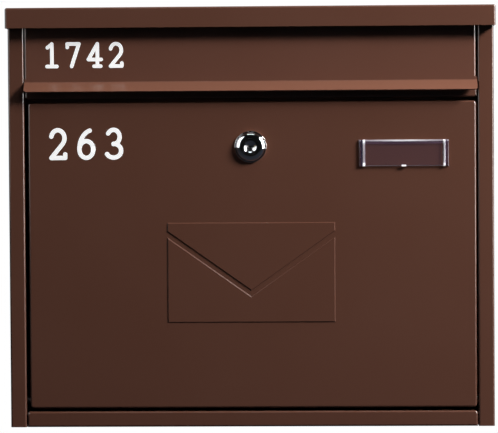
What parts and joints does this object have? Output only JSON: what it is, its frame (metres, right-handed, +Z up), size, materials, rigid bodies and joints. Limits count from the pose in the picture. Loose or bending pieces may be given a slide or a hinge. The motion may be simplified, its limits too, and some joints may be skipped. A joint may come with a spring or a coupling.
{
  "type": "wall mounted post box",
  "caption": "Flat wall post box of folded sheet steel with a letter flap under a shallow roof, a bottom hinged locking door, an embossed envelope and a clear name plate.",
  "frame": {"origin": "centre of the four wall holes, on the back face that lies against the wall", "axes": "+X to the right of someone facing the box, +Y from the front into the wall, +Z up"},
  "size_m": [0.36, 0.1, 0.31],
  "materials": {
    "brown_powder_coat": "semi-gloss dark brown powder coat",
    "zinc_plated_steel": "bright zinc plating",
    "lock_chrome": "polished chrome plating",
    "wafer_brass": "stamped brass",
    "black_plastic": "black moulded plastic",
    "clear_plastic": "clear moulded plastic"
  },
  "bodies": {
    "casing": {"casing_wrap": "brown_powder_coat", "bottom_tray": "brown_powder_coat", "roof_lid": "brown_powder_coat", "cross_rail": "brown_powder_coat", "flap_hinge_rod": "zinc_plated_steel", "flap_rod_caps": "black_plastic", "door_hinge_pin_right": "zinc_plated_steel", "door_hinge_pin_left": "zinc_plated_steel", "door_hinge_spacers": "black_plastic"},
    "flap": {"letter_flap": "brown_powder_coat"},
    "door": {"door_panel": "brown_powder_coat", "lock_housing": "lock_chrome", "lock_washer": "zinc_plated_steel", "lock_nut": "zinc_plated_steel", "nameplate_window": "clear_plastic", "nameplate_push_nuts": "zinc_plated_steel"},
    "lock": {"lock_plug": "lock_chrome", "lock_wafers": "wafer_brass", "lock_cam": "zinc_plated_steel", "cam_washer": "zinc_plated_steel", "cam_screw": "zinc_plated_steel"}
  },
  "joints": [
    {"name": "flap_hinge", "type": "hinge", "parent": "casing", "child": "flap", "pos_m": [0, -0.084, 0.1458], "axis": [-1, 0, 0], "range_deg": [0, 40]},
    {"name": "door_hinge", "type": "hinge", "parent": "casing", "child": "door", "pos_m": [0, -0.0855, -0.135], "axis": [1, 0, 0], "range_deg": [0, 110]},
    {"name": "lock_turn", "type": "hinge", "parent": "door", "child": "lock", "pos_m": [0, -0.091, 0.052], "axis": [0, -1, 0], "range_deg": [0, 90]}
  ]
}
